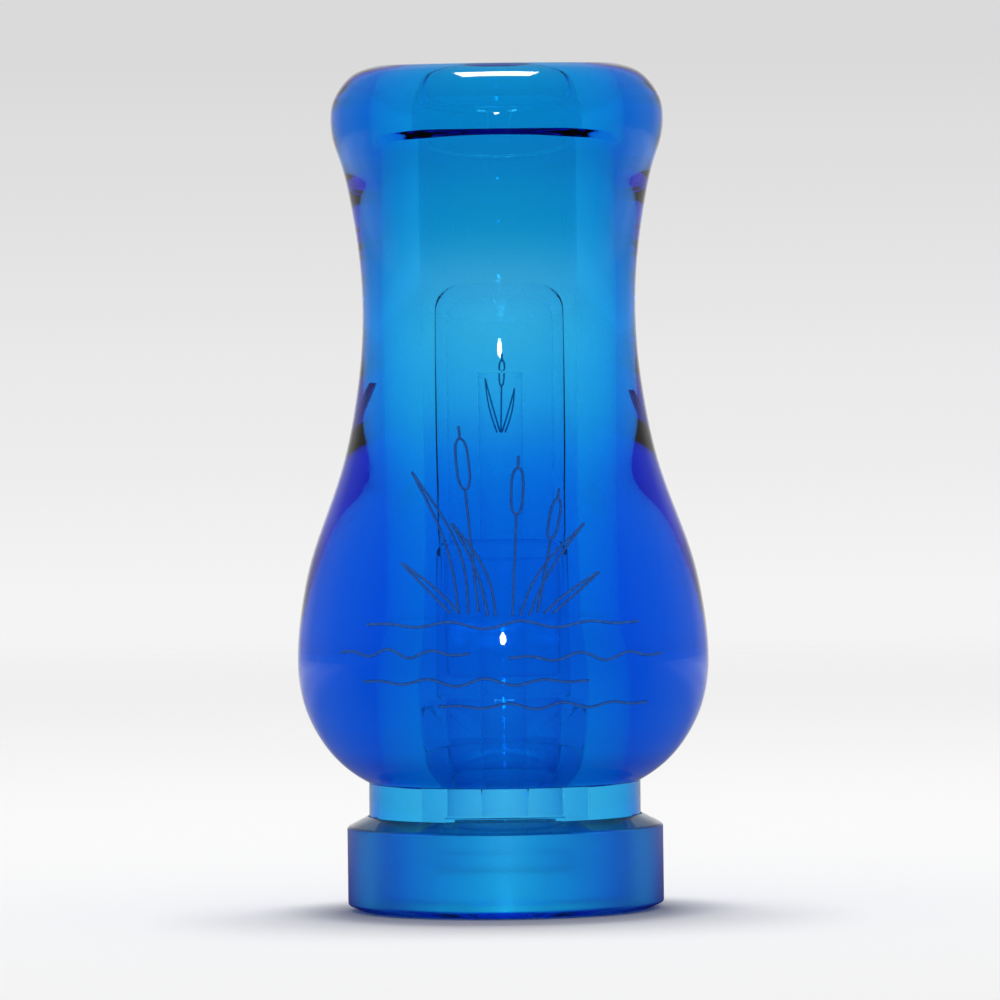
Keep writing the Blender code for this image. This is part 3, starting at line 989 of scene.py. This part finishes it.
def satin_acrylic(marks):
    """Abraded on the outer face only: the bevel, chamfer and inside stay polished."""
    made, nodes, links, shader = clear_plastic("satin_blue_acrylic", BAND_TINT, BLUE_DENSITY)
    where = nodes.new("ShaderNodeTexCoord")
    parts = nodes.new("ShaderNodeSeparateXYZ")
    links.new(where.outputs["Object"], parts.inputs[0])
    squares = [math_node(nodes, links, "MULTIPLY", parts.outputs[a], parts.outputs[a]) for a in "XY"]
    reach = math_node(nodes, links, "SQRT", math_node(nodes, links, "ADD", *squares), 0.0)
    face = nodes.new("ShaderNodeMapRange")
    face.interpolation_type = "SMOOTHSTEP"
    face.inputs["From Min"].default_value = (BAND_R - 0.10) * MM
    face.inputs["From Max"].default_value = (BAND_R - 0.02) * MM
    links.new(reach, face.inputs["Value"])
    bevel = nodes.new("ShaderNodeMapRange")
    bevel.inputs["From Min"].default_value = (BAND_TOP - BAND_SHOULDER_DROP - 0.1) * MM
    bevel.inputs["From Max"].default_value = (BAND_TOP - BAND_SHOULDER_DROP) * MM
    links.new(parts.outputs["Z"], bevel.inputs["Value"])
    abraded = face.outputs["Result"]
    grit = noise_node(nodes, links, where.outputs["Object"], SATIN_GRIT, 3.0)
    smears = noise_node(nodes, links, where.outputs["Object"], SMEARS, 2.0)
    level = math_node(nodes, links, "MULTIPLY_ADD", smears, SMEAR_SHARE)
    level.node.inputs[2].default_value = 1.0 - SMEAR_SHARE
    satin = math_node(nodes, links, "MULTIPLY", abraded, level)
    worn_roughness(nodes, links, shader, satin, 0.02, SATIN_ROUGHNESS)
    rings = placed_group(nodes, marks, {"Rings per Metre": FINE_RINGS, "Unevenness": 0.5})
    sparkle = math_node(nodes, links, "MULTIPLY", math_node(nodes, links, "MULTIPLY", grit, abraded), 22.0)
    bumped(nodes, links, shader, math_node(nodes, links, "ADD", rings.outputs["Height"], sparkle), BLUE_BUMP)
    # Painted shade: the band's colour darkens towards its grazing edges, except on the bevel
    edge = nodes.new("ShaderNodeLayerWeight")
    edge.inputs["Blend"].default_value = 0.75
    # Painted shade on the bottom chamfer and painted light on the bevel, by height
    depth = painted_light_and_shade_by_height(nodes, links, BAND_PAINTED_LIGHT_AND_SHADE)
    upright = math_node(nodes, links, "SUBTRACT", 1.0, bevel.outputs["Result"])
    share = math_node(nodes, links, "MULTIPLY", edge.outputs["Facing"], upright)
    band_painted_shading = mixed(nodes, links, share, depth, BAND_PAINTED_EDGE_SHADE)
    links.new(band_painted_shading, shader.inputs["Base Color"])
    return made


def insert_acrylic(marks, scratches):
    made, nodes, links, shader = clear_plastic(
        "stopper_acrylic", (0.4, 0.8, 0.97), 30.0, INNER_IOR, INNER_COAT
    )
    rings = placed_group(nodes, marks, {"Rings per Metre": 3200.0, "Unevenness": 0.3})
    worn = placed_group(nodes, scratches, {"Amount": 1.0, "Patch Size": 120.0})
    worn_roughness(nodes, links, shader, worn.outputs["Scratch Mask"], 0.02, 0.3)
    bumped(nodes, links, shader, rings.outputs["Height"], 1.2e-6)
    with_painted_edge_shade(nodes, links, shader)
    return made


def board_acrylic(marks, scratches):
    made, nodes, links, shader = clear_plastic(
        "tone_board_acrylic", (0.8, 0.92, 0.98), 20.0, INNER_IOR, INNER_COAT
    )
    rings = placed_group(nodes, marks, {"Rings per Metre": 1800.0, "Unevenness": 0.6})
    worn = placed_group(nodes, scratches, {"Amount": 1.0, "Patch Size": 150.0})
    worn_roughness(nodes, links, shader, worn.outputs["Scratch Mask"], 0.03, 0.3)
    bumped(nodes, links, shader, rings.outputs["Height"], 1.5e-6)
    with_painted_edge_shade(nodes, links, shader)
    return made


def reed_film(scratches):
    """Polyester film with a faint lengthwise grain."""
    made, nodes, links, shader = clear_plastic("reed_film", (0.9, 0.95, 0.98), 20.0, INNER_IOR, INNER_COAT)
    where = nodes.new("ShaderNodeTexCoord")
    grain_way = nodes.new("ShaderNodeMapping")
    grain_way.inputs["Scale"].default_value = (5200.0, 5200.0, 260.0)
    links.new(where.outputs["Object"], grain_way.inputs["Vector"])
    grain = noise_node(nodes, links, grain_way.outputs["Vector"], 1.0, 2.0)
    worn_roughness(nodes, links, shader, grain, 0.03, 0.16)
    worn = placed_group(nodes, scratches, {"Amount": 1.0, "Patch Size": 160.0})
    height = math_node(nodes, links, "ADD", grain, worn.outputs["Scratch Mask"])
    bumped(nodes, links, shader, height, 0.8e-6)
    with_painted_edge_shade(nodes, links, shader)
    return made


def silicone():
    made, nodes, links, shader = clear_plastic("o_ring_silicone", (0.5, 0.8, 0.95), 50.0, INNER_IOR)
    where = nodes.new("ShaderNodeTexCoord")
    bloom = noise_node(nodes, links, where.outputs["Object"], 900.0, 3.0)
    worn_roughness(nodes, links, shader, bloom, 0.12, 0.35)
    bumped(nodes, links, shader, bloom, 4e-6)
    with_painted_edge_shade(nodes, links, shader)
    return made


def wedge_rubber():
    made, nodes, links, shader = clear_plastic("wedge_rubber", (0.5, 0.8, 0.95), 60.0, INNER_IOR)
    where = nodes.new("ShaderNodeTexCoord")
    grain = noise_node(nodes, links, where.outputs["Object"], 1500.0, 4.0)
    worn_roughness(nodes, links, shader, grain, 0.2, 0.5)
    bumped(nodes, links, shader, grain, 8e-6)
    with_painted_edge_shade(nodes, links, shader)
    return made


def engraved_line():
    """The frosted floor of a shallow engraved line. Its dark blue is painted shade, in place of the dark
    outlines that refraction draws at a cut groove.
    """
    made = bpy.data.materials.new("engraved_line")
    made.use_nodes = True
    nodes, links = made.node_tree.nodes, made.node_tree.links
    shader = nodes["Principled BSDF"]
    where = nodes.new("ShaderNodeTexCoord")
    crumbs = noise_node(nodes, links, where.outputs["Object"], 4000.0, 2.0)
    # Painted shade: dark blue tones, varied at random by the noise
    tone = nodes.new("ShaderNodeMix")
    tone.data_type = "RGBA"
    tone.inputs["A"].default_value = (0.0, 0.04, 0.35, 1.0)
    tone.inputs["B"].default_value = (0.02, 0.22, 0.75, 1.0)
    links.new(crumbs, tone.inputs["Factor"])
    links.new(tone.outputs["Result"], shader.inputs["Base Color"])
    worn_roughness(nodes, links, shader, crumbs, 0.35, 0.65)
    bumped(nodes, links, shader, crumbs, 6e-6)
    shader.inputs["Alpha"].default_value = 0.75
    return made


# ---------------------------------------------------------------- pieces


def place(piece, body, node):
    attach(piece, body)
    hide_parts(node)


def make_call():
    marks = turning_marks_group()
    scratches = scratches_group()
    clear = board_acrylic(marks, scratches)
    film = reed_film(scratches)
    rings = silicone()
    barrel = turned("barrel_turned", barrel_outline(), blue_acrylic(marks, scratches))
    place(barrel, "barrel", "barrel")
    band = turned("band_turned", band_outline(), satin_acrylic(marks))
    place(band, "barrel", "end_band")
    stopper = turned("stopper_turned", stopper_outline(), insert_acrylic(marks, scratches))
    place(stopper, "insert", "insert_stopper")
    for name, height in RING_HEIGHTS.items():
        ring = turned(name + "_moulded", ring_outline(height), rings, RING_STEPS)
        place(ring, "o_rings", name)
    make_tone_board(clear)
    lower_back = BOARD_FACE_Y - REED_GAP
    make_reed("lower_reed", lower_back, film, dimpled=False)
    make_reed("upper_reed", lower_back - REED_THICKNESS - REED_GAP, film, dimpled=True)
    make_wedge(wedge_rubber())
    make_engraving(engraved_line())


# ---------------------------------------------------------------- studio


def axis_tones(nodes, links, vector, axis, reach, stops):
    """Tones along one axis of a vector, from -reach to reach."""
    parts = nodes.new("ShaderNodeSeparateXYZ")
    links.new(vector, parts.inputs[0])
    share = nodes.new("ShaderNodeMapRange")
    share.inputs["From Min"].default_value = -reach
    share.inputs["From Max"].default_value = reach
    links.new(parts.outputs[axis], share.inputs["Value"])
    ramp = colour_ramp(nodes, [(place_at, (tone, tone, tone)) for place_at, tone in stops])
    links.new(share.outputs["Result"], ramp.inputs["Fac"])
    return ramp.outputs["Color"]


def mirrored_share(nodes, links):
    """1 for a ray that a glossy face has just mirrored, 0 for one that came through it."""
    rays = nodes.new("ShaderNodeLightPath")
    glossy, mirrored = rays.outputs["Is Glossy Ray"], rays.outputs["Is Reflection Ray"]
    return math_node(nodes, links, "MULTIPLY", glossy, mirrored)


def seamless_floor():
    """White table top that fades out with distance into the surroundings. To mirrored rays it shows painted
    shade, dark at the front and paler towards the back.
    """
    bpy.ops.mesh.primitive_circle_add(vertices=96, radius=FLOOR_R, fill_type="NGON")
    floor = bpy.context.object
    floor.name = "floor"
    made = bpy.data.materials.new("floor_white")
    made.use_nodes = True
    nodes, links = made.node_tree.nodes, made.node_tree.links
    shader = nodes["Principled BSDF"]
    shader.inputs["Roughness"].default_value = 0.9
    shader.inputs["Specular IOR Level"].default_value = 0.0
    where = nodes.new("ShaderNodeTexCoord").outputs["Object"]
    # Painted shade for mirrored rays: the floor darkens towards the front
    mirrored = axis_tones(nodes, links, where, "Y", MIRRORED_FLOOR_REACH, MIRRORED_FLOOR_PAINTED_SHADE)
    reach = nodes.new("ShaderNodeVectorMath")
    reach.operation = "LENGTH"
    links.new(where, reach.inputs[0])
    tone = mixed(nodes, links, mirrored_share(nodes, links), (*FLOOR_WHITE, 1.0), mirrored)
    links.new(tone, shader.inputs["Base Color"])
    fade = nodes.new("ShaderNodeMapRange")
    fade.interpolation_type = "SMOOTHSTEP"
    fade.inputs["From Min"].default_value = FLOOR_FADE_FROM
    fade.inputs["From Max"].default_value = FLOOR_R
    fade.inputs["To Min"].default_value = 1.0
    fade.inputs["To Max"].default_value = 0.0
    links.new(reach.outputs["Value"], fade.inputs["Value"])
    links.new(fade.outputs["Result"], shader.inputs["Alpha"])
    floor.data.materials.append(made)


def studio_world():
    """Pale surroundings, darker above the table, with a dim room for what the gloss mirrors."""
    world = bpy.data.worlds.new("studio")
    bpy.context.scene.world = world
    world.use_nodes = True
    nodes, links = world.node_tree.nodes, world.node_tree.links
    way = nodes.new("ShaderNodeTexCoord").outputs["Generated"]
    rays = nodes.new("ShaderNodeLightPath")
    tone = axis_tones(nodes, links, way, "Z", 1.0, SURROUND_TONES)
    for share, axis, stops in (
        (rays.outputs["Is Diffuse Ray"], "Z", DIFFUSE_TONES),
        (mirrored_share(nodes, links), "Y", MIRRORED_TONES),
        (rays.outputs["Is Camera Ray"], "Z", BACKDROP_TONES),
    ):
        tone = mixed(nodes, links, share, tone, axis_tones(nodes, links, way, axis, 1.0, stops))
    links.new(tone, nodes["Background"].inputs["Color"])


def lamp(name, place_at, aim_at, size, energy, depth=None):
    light = bpy.data.lights.new(name, "AREA")
    light.shape = "RECTANGLE" if depth else "DISK"
    light.size = size
    light.size_y = depth or size
    light.energy = energy
    item = bpy.data.objects.new(name, light)
    bpy.context.scene.collection.objects.link(item)
    item.location = place_at
    item.rotation_mode = "QUATERNION"
    item.rotation_quaternion = (Vector(aim_at) - Vector(place_at)).to_track_quat("-Z", "Y")


def studio_camera():
    lens = bpy.data.cameras.new("camera")
    camera = bpy.data.objects.new("camera", lens)
    bpy.context.scene.collection.objects.link(camera)
    camera.location = (0.0, -CAMERA_DISTANCE, CAMERA_HEIGHT)
    aim = Vector((AIM_SIDE, 0.0, AIM_HEIGHT)) - camera.location
    camera.rotation_euler = aim.to_track_quat("-Z", "Y").to_euler()
    camera.rotation_euler.rotate_axis("Z", math.radians(-CAMERA_ROLL))
    lens.sensor_width = 36.0
    lens.lens = lens.sensor_width * aim.length / VIEW_WIDTH
    bpy.context.scene.camera = camera


def make_studio():
    seamless_floor()
    studio_world()
    lamp("overhead_softbox", OVERHEAD_AT, (0.0, 0.0, 0.0), OVERHEAD_WIDTH, OVERHEAD_ENERGY, OVERHEAD_DEPTH)
    lamp("front_lamp", FRONT_AT, (0.0, 0.0, 0.04), FRONT_SIZE, FRONT_ENERGY)
    studio_camera()
    scene = bpy.context.scene
    scene.view_settings.view_transform = "Standard"
    scene.cycles.max_bounces = 32
    scene.cycles.transmission_bounces = 32


TURNING = turning_tree()
ENGRAVED = engraving_tree()
make_call()
make_studio()
